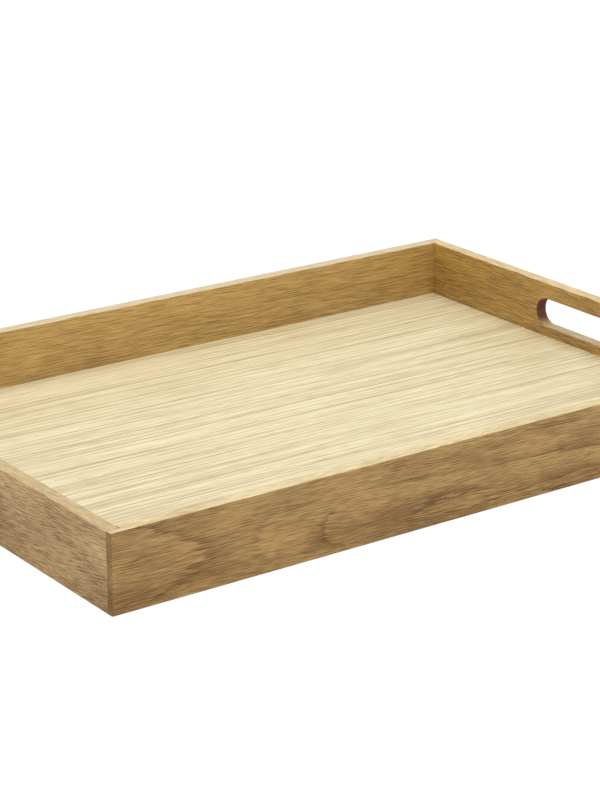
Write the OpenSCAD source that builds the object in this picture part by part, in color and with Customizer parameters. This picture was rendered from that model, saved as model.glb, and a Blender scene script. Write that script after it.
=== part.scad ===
// Serving tray: four oak boards with rebated corners around a veneered floor
// panel.
// Millimetres. The origin is the centre of the underside, X runs along the
// tray, Y across it and Z up.

/* [Tray] */
// Overall length
tray_length = 520; // [420:10:620]
// Overall width
tray_width = 360; // [280:10:440]
// Height of the wall boards
tray_height = 51; // [48:1:70]

/* [Wall boards] */
// Thickness of the wall boards
board_t = 9; // [9:0.5:14]
// Radius of the eased long edges
arris_r = 0.7; // [0.4:0.1:1.2]
// Radius of the upright outer corners
corner_r = 1.2; // [1:0.1:2]
// Thickness of the lip at each end of a long wall, over the short wall's end
lip_t = 4; // [3:0.5:4.5]

/* [Hand slots] */
// Overall length of a hand slot
slot_length = 98; // [80:1:120]
// Height of a hand slot, which is also the diameter of its ends
slot_height = 21; // [20:1:24]
// Height of a hand slot's centre above the table
slot_z = 28.5; // [27:0.5:30]
// Radius of the round-over on both faces of a hand slot
slot_round = 0.6; // [0.4:0.1:1.5]

/* [Floor panel] */
// Gap between the table and the panel's underside
base_recess = 4.5; // [3:0.5:5]
// Thickness of the whole panel
base_t = 6; // [5:0.5:7]
// Thickness of the veneer on each side of the panel
veneer_t = 0.6; // [0.5:0.1:1]
// Depth of the groove that holds the panel
groove_depth = 4.5; // [3:0.5:5]
// Gap left in the groove so that the panel can swell
base_gap = 0.5; // [0.2:0.1:1]

/* [Hidden] */
$fn = 48;

slot_r = slot_height / 2;
slot_span = slot_length - slot_height;

base_length = tray_length - 2 * (board_t - groove_depth + base_gap);
base_width = tray_width - 2 * (board_t - groove_depth + base_gap);
core_t = base_t - 2 * veneer_t;
floor_z = base_recess + base_t;

short_length = tray_width - 2 * lip_t;

// A rectangle from the origin with all four corners rounded
module eased_rectangle(size, r) {
    translate([r, 0])
        square([size.x - 2 * r, size.y]);
    translate([0, r])
        square([size.x, size.y - 2 * r]);
    for (x = [r, size.x - r], y = [r, size.y - r])
        translate([x, y])
            circle(r);
}

// Cross-section of a wall board: x from the outer face inwards, y upwards
module board_section() {
    difference() {
        eased_rectangle([board_t, tray_height], arris_r);
        translate([board_t - groove_depth, base_recess])
            square([groove_depth + 1, base_t]);
    }
}

// The end face of a lip, on X = 0: a quarter round up from Y = 0, then flat
module lip_end() {
    translate([corner_r, corner_r, 0])
        rotate(180)
            rotate_extrude(angle = 90)
                intersection() {
                    translate([corner_r, 0])
                        mirror([1, 0])
                            board_section();
                    square([corner_r, tray_height]);
                }
    translate([0, lip_t, 0])
        rotate([90, 0, 0])
            linear_extrude(lip_t - corner_r)
                intersection() {
                    board_section();
                    square([corner_r, tray_height]);
                }
}

// A long wall board along +X with its outer face on Y = 0. Each end is rebated
// from the inside, as deep as a short wall is thick, and keeps a lip.
module lipped_board() {
    difference() {
        translate([corner_r, 0, 0])
            rotate([90, 0, 90])
                linear_extrude(tray_length - 2 * corner_r)
                    board_section();
        for (end = [0, 1])
            translate([end * tray_length, 0, 0])
                mirror([end, 0, 0])
                    translate([0, lip_t, -1])
                        cube([board_t, board_t, tray_height + 2]);
    }
    for (end = [0, 1])
        translate([end * tray_length, 0, 0])
            mirror([end, 0, 0])
                lip_end();
}

// Half the outline of the slot cutter: x from the slot's centre, y through
// the board. It flares at both faces, which rounds over the slot's edges.
module slot_half_section() {
    translate([0, -1])
        square([slot_r, board_t + 2]);
    for (side = [0, 1])
        translate([0, side * board_t])
            mirror([0, side]) {
                translate([0, -1])
                    square([slot_r + slot_round, 1]);
                difference() {
                    square([slot_r + slot_round, slot_round]);
                    translate([slot_r + slot_round, slot_round])
                        circle(slot_round);
                }
            }
}

// Cutter for a hand slot, centred at the origin, running through +Y
module slot_cutter() {
    translate([-slot_span / 2, 0, 0])
        rotate([90, 0, 90])
            linear_extrude(slot_span)
                for (side = [0, 1])
                    mirror([0, side])
                        rotate(90)
                            mirror([0, 1])
                                slot_half_section();
    for (side = [0, 1])
        mirror([side, 0, 0])
            translate([slot_span / 2, 0, 0])
                rotate([-90, -90, 0])
                    rotate_extrude(angle = 180)
                        slot_half_section();
}

// A short wall board along +X with its outer face on Y = 0, square ends and a
// hand slot through its middle
module slotted_board() {
    difference() {
        rotate([90, 0, 90])
            linear_extrude(short_length)
                board_section();
        translate([short_length / 2, 0, slot_z])
            slot_cutter();
    }
}

// One flat layer of the floor panel
module panel_layer(z, thickness) {
    translate([-base_length / 2, -base_width / 2, z])
        cube([base_length, base_width, thickness]);
}

module front_wall() {
    color("burlywood")
        translate([-tray_length / 2, -tray_width / 2, 0])
            lipped_board();
}

module back_wall() {
    color("burlywood")
        rotate(180)
            translate([-tray_length / 2, -tray_width / 2, 0])
                lipped_board();
}

module left_wall() {
    color("tan")
        rotate(-90)
            translate([-short_length / 2, -tray_length / 2, 0])
                slotted_board();
}

module right_wall() {
    color("tan")
        rotate(90)
            translate([-short_length / 2, -tray_length / 2, 0])
                slotted_board();
}

module base_core() {
    color("peru")
        panel_layer(base_recess + veneer_t, core_t);
}

module base_face_veneer() {
    color("wheat")
        panel_layer(floor_z - veneer_t, veneer_t);
}

module base_back_veneer() {
    color("wheat")
        panel_layer(base_recess, veneer_t);
}

front_wall();
back_wall();
left_wall();
right_wall();
base_core();
base_face_veneer();
base_back_veneer();
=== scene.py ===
"""Serving tray in oak: the looks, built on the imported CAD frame.

Positions and sizes are metres in the tray's frame: X along the tray, Y across
it, Z up. Inside the wood materials everything is in millimetres.
"""

import math
from dataclasses import dataclass

import bpy
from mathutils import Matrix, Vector


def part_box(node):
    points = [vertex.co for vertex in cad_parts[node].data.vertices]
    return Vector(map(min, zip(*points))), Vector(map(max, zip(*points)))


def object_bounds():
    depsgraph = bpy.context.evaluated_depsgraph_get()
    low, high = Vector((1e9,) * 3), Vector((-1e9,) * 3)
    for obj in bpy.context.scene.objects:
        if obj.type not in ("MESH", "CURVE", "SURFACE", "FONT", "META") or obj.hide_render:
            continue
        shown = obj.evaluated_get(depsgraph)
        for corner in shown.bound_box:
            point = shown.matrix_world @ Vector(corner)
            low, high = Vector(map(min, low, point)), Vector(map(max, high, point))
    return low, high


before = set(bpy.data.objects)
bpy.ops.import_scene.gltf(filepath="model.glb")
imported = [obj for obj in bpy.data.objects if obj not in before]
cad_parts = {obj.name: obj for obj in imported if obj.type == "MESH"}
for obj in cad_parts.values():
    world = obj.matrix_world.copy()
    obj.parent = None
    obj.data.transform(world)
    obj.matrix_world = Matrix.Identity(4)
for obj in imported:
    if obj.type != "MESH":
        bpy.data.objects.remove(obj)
CAD_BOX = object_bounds()

MM = 1000
TRAY_LENGTH, TRAY_WIDTH, TRAY_HEIGHT = (CAD_BOX[1] - CAD_BOX[0]) * MM

# The left wall runs from the tray's end to its own thickness inwards, between the
# lips that the long walls keep over its ends.
BOARD_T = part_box("left_wall")[1].x * MM + TRAY_LENGTH / 2
LIP_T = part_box("left_wall")[0].y * MM + TRAY_WIDTH / 2

# Refractive index of the wood's surface
WOOD_IOR = 1.62


def rgb(red, green, blue):
    return (red, green, blue, 1.0)


# ---------------------------------------------------------------- node fields


class Field:
    """A number that varies over a surface. Arithmetic on it adds Math nodes."""

    def __init__(self, tree, socket):
        self.tree = tree
        self.socket = socket

    def __add__(self, other):
        return self.tree.math("ADD", self, other)

    def __sub__(self, other):
        return self.tree.math("SUBTRACT", self, other)

    def __rsub__(self, other):
        return self.tree.math("SUBTRACT", other, self)

    def __mul__(self, other):
        return self.tree.math("MULTIPLY", self, other)

    def __truediv__(self, other):
        return self.tree.math("DIVIDE", self, other)

    __radd__ = __add__
    __rmul__ = __mul__

    def call(self, operation, *others):
        return self.tree.math(operation, self, *others)

    def clamp(self):
        return self.call("MINIMUM", 1.0).call("MAXIMUM", 0.0)

    def rise(self, low, high):
        """0 below low, 1 above high and smooth between. Falls if low > high."""
        node = self.tree.add("MapRange", interpolation_type="SMOOTHSTEP")
        falling = low > high
        self.tree.plug(node.inputs["Value"], self)
        node.inputs["From Min"].default_value = min(low, high)
        node.inputs["From Max"].default_value = max(low, high)
        node.inputs["To Min"].default_value = 1.0 if falling else 0.0
        node.inputs["To Max"].default_value = 0.0 if falling else 1.0
        return Field(self.tree, node.outputs["Result"])


class Tree:
    """One material's node tree, with the surface's position in millimetres."""

    def __init__(self, name):
        self.material = bpy.data.materials.new(name)
        self.material.use_nodes = True
        self.nodes = self.material.node_tree.nodes
        self.links = self.material.node_tree.links
        self.nodes.clear()
        coordinates = self.add("TexCoord")
        self.position = [axis * MM for axis in self.split(coordinates.outputs["Object"])]
        self.normal = self.split(coordinates.outputs["Normal"])

    def add(self, kind, **settings):
        node = self.nodes.new("ShaderNode" + kind)
        for key, value in settings.items():
            setattr(node, key, value)
        return node

    def plug(self, socket, value):
        if isinstance(value, Field):
            value = value.socket
        if isinstance(value, bpy.types.NodeSocket):
            self.links.new(value, socket)
        else:
            socket.default_value = value

    def math(self, operation, *values):
        node = self.add("Math", operation=operation)
        for socket, value in zip(node.inputs, values):
            self.plug(socket, value)
        return Field(self, node.outputs["Value"])

    def split(self, vector):
        node = self.add("SeparateXYZ")
        self.plug(node.inputs["Vector"], vector)
        return [Field(self, socket) for socket in node.outputs]

    def point(self, x, y, z):
        node = self.add("CombineXYZ")
        for socket, value in zip(node.inputs, (x, y, z)):
            self.plug(socket, value)
        return node.outputs["Vector"]

    def noise(self, x, y, z, detail=2.0, roughness=0.5):
        """Smooth noise that swings about 0, mostly within -0.25 to 0.25."""
        node = self.add("TexNoise")
        self.plug(node.inputs["Vector"], self.point(x, y, z))
        node.inputs["Scale"].default_value = 1.0
        node.inputs["Detail"].default_value = detail
        node.inputs["Roughness"].default_value = roughness
        return Field(self, node.outputs["Fac"]) - 0.5

    def cells(self, x, y, z):
        """Distance to the nearest of many scattered points, and its cell's own number."""
        node = self.add("TexVoronoi")
        self.plug(node.inputs["Vector"], self.point(x, y, z))
        node.inputs["Scale"].default_value = 1.0
        distance = Field(self, node.outputs["Distance"])
        number = self.split(node.outputs["Color"])[0]
        return distance, number

    def mix(self, factor, first, second):
        node = self.add("Mix", data_type="RGBA")
        self.plug(node.inputs["Factor"], factor)
        self.plug(node.inputs["A"], first)
        self.plug(node.inputs["B"], second)
        return node.outputs["Result"]

    def tint(self, factor, colour, tone):
        """colour multiplied by tone where factor is 1."""
        node = self.add("Mix", data_type="RGBA", blend_type="MULTIPLY")
        self.plug(node.inputs["Factor"], factor)
        self.plug(node.inputs["A"], colour)
        self.plug(node.inputs["B"], tone)
        return node.outputs["Result"]

    def surface(self, colour, roughness, relief, depth):
        """A satin wood surface. relief is 0 to 1 over a depth in metres."""
        shader = self.add("BsdfPrincipled")
        self.plug(shader.inputs["Base Color"], colour)
        self.plug(shader.inputs["Roughness"], roughness)
        shader.inputs["IOR"].default_value = WOOD_IOR
        bump = self.add("Bump")
        bump.inputs["Strength"].default_value = 1.0
        bump.inputs["Distance"].default_value = depth
        self.plug(bump.inputs["Height"], relief)
        self.plug(shader.inputs["Normal"], bump.outputs["Normal"])
        output = self.add("OutputMaterial")
        self.plug(output.inputs["Surface"], shader.outputs["BSDF"])
        return self.material


# ------------------------------------------------------------------ oak boards

# Tones that the wood's colour is multiplied by
PORE_TONE = rgb(0.63, 0.47, 0.22)
HAIR_TONE = rgb(0.64, 0.53, 0.34)
LIP_END_TONE = rgb(0.81, 0.73, 0.46)
# End grain inside the hand slots, with painted shade of the recess
SLOT_END_GRAIN_AND_SHADE_TONE = rgb(0.40, 0.16, 0.04)
GLUE_TONE = rgb(0.60, 0.52, 0.44)
WORN_TONE = rgb(1.06, 1.08, 1.12)


@dataclass
class Cut:
    """How a wall board was cut from its log, in millimetres, and how its faces are toned."""

    light: tuple  # tone of the pale wood
    dark: tuple  # tone of the dark wood
    # Painted sheen and top light on the faces that look up
    edge: tuple  # tone of the top edge against the faces
    pith_depth: float  # how far the pith lies from the outer face, towards the inside
    pith_height: float  # height of the pith over the board's lower edge
    climb: float = 0.0  # how fast the pith climbs along the board
    swell: float = 0.0  # how far the stem bulges towards the face
    swell_at: float = 0.0  # where along the board the bulge is
    swell_before: float = 95.0  # how far it reaches towards the board's start
    swell_after: float = 60.0  # how far it reaches towards the board's end
    heart: float = 20.0  # radius from which the rings are counted
    ring: float = 0.030  # the n-th ring ends ring * n * n outside the heart
    shift: float = 0.0  # moves the rings, in ring widths
    line: float = 0.28  # width of the dark early wood in a ring
    swirl: float = 1.0  # how far the rings wander
    figure: float = 0.4  # how dark the early wood shows
    mottle: float = 0.85  # how cloudy the board is
    pores: float = 0.9  # how dark the pores and the thin lines are
    length: float = 1.0  # how long they run
    bend: float = 8.0  # how far they stray from straight
    fibre: float = 0.0  # slope of the pores along the board
    # Painted light and shade: how much paler the board is toned towards its top, darker towards
    # the floor
    lift: float = 0.26  # how much paler the board gets towards its top
    seed: float = 0.0  # moves the noise, so that no two boards are alike


@dataclass
class Grain:
    """What runs along a board's fibres."""

    dashes: Field  # open pores in rows, 0 to 1
    hairs: Field  # finer pores between the rows, 0 to 1
    fine: Field  # thin lines of tone
    flecks: Field  # short flecks of tone
    streak: Field  # long lines of tone
    patch: Field  # broad lines of tone


def board_axes(tree, side):
    """Distance along a wall board, in from its outer face and up, and how far the
    surface faces along the board."""
    x, y, z = tree.position
    facing_x, facing_y, _ = tree.normal
    half_length, half_width = TRAY_LENGTH / 2, TRAY_WIDTH / 2
    if side == "front":
        return x + half_length, y + half_width, z, facing_x
    if side == "back":
        return x + half_length, half_width - y, z, facing_x
    if side == "left":
        return y + half_width, x + half_length, z, facing_y
    return y + half_width, half_length - x, z, facing_y


# In the wood's noise, each distance is divided by the size of the pattern along it.


def board_grain(tree, cut, along, depth, height):
    """Pores and streaks, which follow the stem's slow bends."""
    seed = cut.seed
    bend = tree.noise(along / 80, seed + 3.0, height / 24, detail=1.0) * cut.bend
    across = height + depth * 0.8 - along * cut.fibre + bend
    run = along / cut.length
    weave = tree.noise(run / 50, depth / 6 + seed, across / 7.0, detail=1.0) * 2.0
    row = ((across / 1.6 + weave).call("FRACT") - 0.5).call("ABSOLUTE")
    gaps = tree.noise(run / 8, depth / 2 + seed, across, detail=0.0).rise(-0.14, 0.08)
    hairs = tree.noise(run / 6 + seed, depth / 0.6, across / 0.5, detail=0.0)
    return Grain(
        dashes=row.rise(0.22, 0.06) * gaps,
        hairs=hairs.rise(-0.05, 0.2),
        fine=tree.noise(run / 9, depth / 1.2 + seed, across / 0.65, detail=0.0),
        flecks=tree.noise(run / 1.6, depth / 0.9 + seed, across / 0.8, detail=0.0),
        streak=tree.noise(run / 75, depth / 2.2 + seed, across / 1.3, detail=1.0, roughness=0.6),
        patch=tree.noise(run / 45, seed + 9.0, across / 4.2),
    )


def early_wood(tree, cut, grain, along, depth, height):
    """How much of the growth rings' dark early wood shows, 0 to about 1.

    The rings are counted by the distance from the pith. They have feathered edges
    and get wider outwards.
    """
    seed = cut.seed
    past = along - cut.swell_at
    near = (past / cut.swell_after).call("MAXIMUM", past / -cut.swell_before)
    swell = (near * near * -1.0).call("EXPONENT") * cut.swell
    wander = tree.noise(along / 50, depth / 40 + seed, height / 20) * 2 * cut.swirl
    from_pith = swell + wander + cut.pith_depth - depth
    sway = tree.noise(along / 45, seed, height / 30) * 6 * cut.swirl
    over_pith = height - cut.pith_height - along * cut.climb + sway
    radius = (from_pith * from_pith + over_pith * over_pith).call("SQRT")
    feather = grain.streak * 2.0 + grain.fine * 1.2 + grain.patch * 1.6
    grown = (radius + feather - cut.heart).call("MAXIMUM", 0.0)
    ring = ((grown / cut.ring).call("SQRT") + cut.shift).call("FRACT")
    start = ring.rise(0.0, cut.line * 0.4)
    core = start * ring.rise(cut.line * 1.6, cut.line * 0.4)
    tail = start * ring.rise(cut.line * 6, cut.line)
    strength = tree.noise(along / 50, seed + 2.0, radius / 5).rise(-0.32, 0.14)
    return (core * 0.65 + tail * 0.45) * strength


def oak_board(side, cut):
    """An oiled oak board with its own rings, pores and tone."""
    tree = Tree("oak_" + side)
    along, depth, height, end_facing = board_axes(tree, side)
    grain = board_grain(tree, cut, along, depth, height)
    cloud = tree.noise(along / 60, cut.seed - 5.0, height / 18)

    # The long edges show less figure than the faces.
    figured = 1.0 - tree.normal[2].call("ABSOLUTE").rise(0.45, 0.85) * 0.6
    early = early_wood(tree, cut, grain, along, depth, height) * figured

    tone = early * cut.figure + cloud * figured * cut.mottle
    tone = tone + grain.streak * 0.45 + grain.patch * 0.20 + grain.flecks * 0.20
    # Painted light and shade: the board is toned paler towards its top and darker towards the
    # floor.
    tone = tone + grain.fine * cut.pores + 0.36 - height / TRAY_HEIGHT * cut.lift
    colour = tree.mix(tone.clamp(), cut.light, cut.dark)
    pores = grain.dashes * figured * (early * 0.6 + 0.85)
    colour = tree.tint(pores * cut.pores * 0.9, colour, PORE_TONE)
    colour = tree.tint(grain.hairs * 0.50, colour, HAIR_TONE)

    # Painted sheen and top light: the top edge and the slots' lower sides, which face up, get
    # their own tone, mostly paler and whiter than the side faces.
    colour = tree.tint(tree.normal[2].rise(0.45, 0.85), colour, cut.edge)

    # Cut fibre ends drink more oil and show darker, on the lips' ends and in the hand slots. The
    # slots' ends are toned far darker still: end grain plus painted shade of the recess.
    length = TRAY_LENGTH if side in ("front", "back") else TRAY_WIDTH
    from_end = along.call("MINIMUM", length - along)
    end_grain = end_facing.call("ABSOLUTE")
    colour = tree.tint(end_grain.rise(0.10, 0.45), colour, LIP_END_TONE)
    slot_end_grain_and_shade = end_grain.rise(0.30, 0.90) * from_end.rise(20, 30)
    colour = tree.tint(slot_end_grain_and_shade, colour, SLOT_END_GRAIN_AND_SHADE_TONE)

    # A hairline of glue where a short wall's end meets the lip.
    if side in ("left", "right"):
        glue = from_end.rise(LIP_T + 0.8, LIP_T + 0.3)
        colour = tree.tint(glue, colour, GLUE_TONE)

    # The sanded arrises are rubbed a little paler and duller.
    from_face = depth.call("MINIMUM", BOARD_T - depth)
    from_edge = height.call("MINIMUM", TRAY_HEIGHT - height)
    worn = from_face.call("MAXIMUM", from_edge).rise(1.3, 0.5)
    colour = tree.tint(worn, colour, WORN_TONE)

    roughness = 0.38 + pores * 0.22 + worn * 0.08 + cloud * 0.10 + slot_end_grain_and_shade * 0.3
    relief = 0.8 - pores * 0.6 - grain.hairs * 0.2 + grain.streak * 0.35 - early * 0.12
    return tree.surface(colour, roughness, relief, depth=0.00018)


# ---------------------------------------------------------------- floor panel


def face_veneer():
    """Straight-grained oak veneer: fine lines along the tray, no cathedrals."""
    tree = Tree("oak_face_veneer")
    x, y, _ = tree.position
    drift = tree.noise(x / 260, y / 120, 1.0, detail=1.0) * 9
    across = y + x * 0.012 + drift
    uneven = tree.noise(0.0, across / 16, 2.0, detail=1.0) * 1.6
    ring = (across / 5.2 + uneven).call("FRACT")
    line = ring.rise(0.0, 0.10) * ring.rise(0.36, 0.12)
    strength = tree.noise(x / 230, across / 6, 5.0, detail=1.0).rise(-0.20, 0.16)
    weave = tree.noise(x / 180, across / 9, 8.0, detail=1.0) * 2.4
    row = ((across / 3.3 + weave).call("FRACT") - 0.5).call("ABSOLUTE")
    gaps = tree.noise(x / 65, across / 2.0, 6.0, detail=1.0).rise(-0.12, 0.14)
    threads = row.rise(0.30, 0.08) * gaps
    broad = tree.noise(x / 500, across / 14, 9.0, detail=2.0)
    streak = tree.noise(x / 240, across / 2.6, 7.0, detail=1.0, roughness=0.6)
    bands = tree.noise(x / 420, across / 6.5, 4.0, detail=0.0).rise(0.04, 0.15)
    fine = tree.noise(x / 60, across / 1.1, 3.0, detail=1.0, roughness=0.65)
    hairs = tree.noise(x / 13, across / 0.7, 0.0, detail=0.0).rise(0.0, 0.2)

    # Painted light: the veneer is made a little paler along the back wall, against the wall's
    # shade on it.
    painted_light_by_back_wall = y.rise(105, 165)
    tone = line * strength + threads * 0.55 - painted_light_by_back_wall * 0.3
    tone = tone + broad * 0.8 + streak * 0.8 + fine * 1.8 + bands * 0.28 + 0.13
    colour = tree.mix(tone.clamp(), rgb(0.689, 0.608, 0.39), rgb(0.418, 0.33, 0.159))
    colour = tree.tint(hairs * 0.50, colour, rgb(0.74, 0.68, 0.58))
    roughness = 0.42 + hairs * 0.15 + broad * 0.1
    relief = 0.8 - hairs * 0.5 + fine * 0.4 - line * 0.2
    return tree.surface(colour, roughness, relief, depth=0.00008)


def back_veneer():
    """The balancing veneer underneath: plainer, duller and rougher."""
    tree = Tree("oak_back_veneer")
    x, y, _ = tree.position
    across = y + tree.noise(x / 180, y / 60, 4.0, detail=1.0) * 14
    ring = (across / 7.5 + tree.noise(0.0, across / 20, 6.0) * 2).call("FRACT")
    line = ring.rise(0.0, 0.2) * ring.rise(0.8, 0.2)
    fine = tree.noise(x / 60, across / 1.2, 8.0, detail=3.0, roughness=0.6)
    hair_gap, _ = tree.cells(x / 8.0, across / 0.6, 2.0)
    hairs = hair_gap.rise(0.3, 0.1)
    tone = line * 0.35 + fine * 1.4 + 0.35
    colour = tree.mix(tone.clamp(), rgb(0.62, 0.46, 0.25), rgb(0.40, 0.27, 0.12))
    colour = tree.tint(hairs * 0.4, colour, rgb(0.6, 0.52, 0.44))
    roughness = 0.62 + hairs * 0.1
    relief = 0.8 - hairs * 0.5 + fine * 0.5
    return tree.surface(colour, roughness, relief, depth=0.0001)


def core_board():
    """Fibreboard: a fine felt of fibres and chips."""
    tree = Tree("fibreboard_core")
    x, y, z = tree.position
    felt = tree.noise(x / 0.9, y / 0.9, z / 0.35, detail=4.0, roughness=0.7)
    chip_gap, number = tree.cells(x / 1.4, y / 1.4, z / 0.5)
    tone = felt * 1.6 + number * 0.25 + 0.35
    colour = tree.mix(tone.clamp(), rgb(0.46, 0.30, 0.15), rgb(0.27, 0.16, 0.07))
    roughness = 0.85 + felt * 0.2
    relief = felt + chip_gap * 0.4
    return tree.surface(colour, roughness, relief, depth=0.0002)


def dress(node, material):
    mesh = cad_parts[node].data
    mesh.materials.clear()
    mesh.materials.append(material)


CUTS = {
    "front": Cut(
        pith_depth=30,
        pith_height=27.3,
        climb=-0.065,
        swell=20,
        swell_at=84,
        heart=29.6,
        ring=3.15,
        shift=0.56,
        line=0.085,
        swirl=0.7,
        figure=0.56,
        mottle=1.9,
        pores=1.0,
        length=1.3,
        fibre=-0.02,
        lift=0.17,
        seed=1.7,
        light=rgb(0.545, 0.338, 0.112),
        dark=rgb(0.215, 0.102, 0.014),
        edge=rgb(1.20, 1.60, 2.6),
    ),
    "back": Cut(
        pith_depth=30,
        pith_height=-70,
        swirl=0.9,
        figure=0.28,
        mottle=0.7,
        length=1.9,
        bend=3,
        fibre=-0.03,
        lift=0.40,
        seed=6.1,
        light=rgb(0.545, 0.358, 0.114),
        dark=rgb(0.232, 0.123, 0.022),
        edge=rgb(1.0, 1.24, 2.25),
    ),
    "left": Cut(
        pith_depth=24,
        pith_height=-62,
        climb=0.15,
        mottle=1.1,
        pores=1.05,
        length=1.2,
        fibre=-0.12,
        seed=11.3,
        light=rgb(0.655, 0.435, 0.180),
        dark=rgb(0.245, 0.125, 0.027),
        edge=rgb(0.74, 0.82, 0.87),
    ),
    "right": Cut(
        pith_depth=26,
        pith_height=-58,
        climb=0.12,
        pores=0.95,
        length=1.5,
        bend=6,
        fibre=-0.05,
        seed=17.9,
        light=rgb(0.500, 0.312, 0.078),
        dark=rgb(0.178, 0.088, 0.013),
        edge=rgb(1.20, 1.48, 2.8),
    ),
}

for side, cut in CUTS.items():
    dress(side + "_wall", oak_board(side, cut))

dress("base_core", core_board())
dress("base_face_veneer", face_veneer())
dress("base_back_veneer", back_veneer())


# ---------------------------------------------------------------------- stage


def plane(name, half, height, material):
    mesh = bpy.data.meshes.new(name)
    corners = [(-half, -half, 0), (half, -half, 0), (half, half, 0), (-half, half, 0)]
    mesh.from_pydata(corners, [], [(0, 1, 2, 3)])
    mesh.materials.append(material)
    piece = bpy.data.objects.new(name, mesh)
    piece.location.z = height
    bpy.context.scene.collection.objects.link(piece)
    return piece


def floor():
    """A white glowing floor for the eye, over a grey one that bounces light onto the tray."""
    white = Tree("white_floor")
    glow = white.add("Emission")
    glow.inputs["Strength"].default_value = 1.02
    output = white.add("OutputMaterial")
    white.plug(output.inputs["Surface"], glow.outputs["Emission"])
    seen = plane("floor", half=30, height=0, material=white.material)
    seen.visible_diffuse = False
    seen.visible_glossy = False
    seen.visible_shadow = False

    grey = Tree("grey_floor")
    matt = grey.add("BsdfDiffuse")
    matt.inputs["Color"].default_value = rgb(0.45, 0.45, 0.45)
    output = grey.add("OutputMaterial")
    grey.plug(output.inputs["Surface"], matt.outputs["BSDF"])
    bounce = plane("bounce_floor", half=3, height=-0.0002, material=grey.material)
    bounce.visible_camera = False


def soft_box(name, place, size, power):
    """A square soft light that points at the middle of the tray."""
    data = bpy.data.lights.new(name, "AREA")
    data.shape = "SQUARE"
    data.size = size
    data.energy = power
    lamp = bpy.data.objects.new(name, data)
    lamp.location = place
    lamp.rotation_euler = (-Vector(place)).to_track_quat("-Z", "Y").to_euler()
    bpy.context.scene.collection.objects.link(lamp)


def white_sky(strength):
    world = bpy.data.worlds.new("studio")
    world.use_nodes = True
    background = world.node_tree.nodes["Background"]
    background.inputs["Color"].default_value = rgb(1, 1, 1)
    background.inputs["Strength"].default_value = strength
    bpy.context.scene.world = world


def camera(aim, azimuth, elevation, distance, lens):
    """A camera that looks at aim. Azimuth 0 looks along +Y."""
    turn, tilt = math.radians(azimuth), math.radians(elevation)
    back = Vector(
        (math.sin(turn) * math.cos(tilt), -math.cos(turn) * math.cos(tilt), math.sin(tilt))
    )
    data = bpy.data.cameras.new("camera")
    data.lens = lens
    data.clip_start = 0.05
    data.clip_end = 100
    piece = bpy.data.objects.new("camera", data)
    piece.location = Vector(aim) + back * distance
    piece.rotation_euler = (-back).to_track_quat("-Z", "Y").to_euler()
    bpy.context.scene.collection.objects.link(piece)
    bpy.context.scene.camera = piece


camera(aim=(0.0219, 0.0301, 0.0105), azimuth=-35.83, elevation=19.59, distance=1.7462, lens=114.73)
floor()
white_sky(strength=0.87)
soft_box("overhead", place=(0.0, 0.1, 1.7), size=1.6, power=19.3)
soft_box("key", place=(-0.9, -1.2, 1.4), size=1.2, power=6.5)

bpy.context.scene.view_settings.view_transform = "Standard"
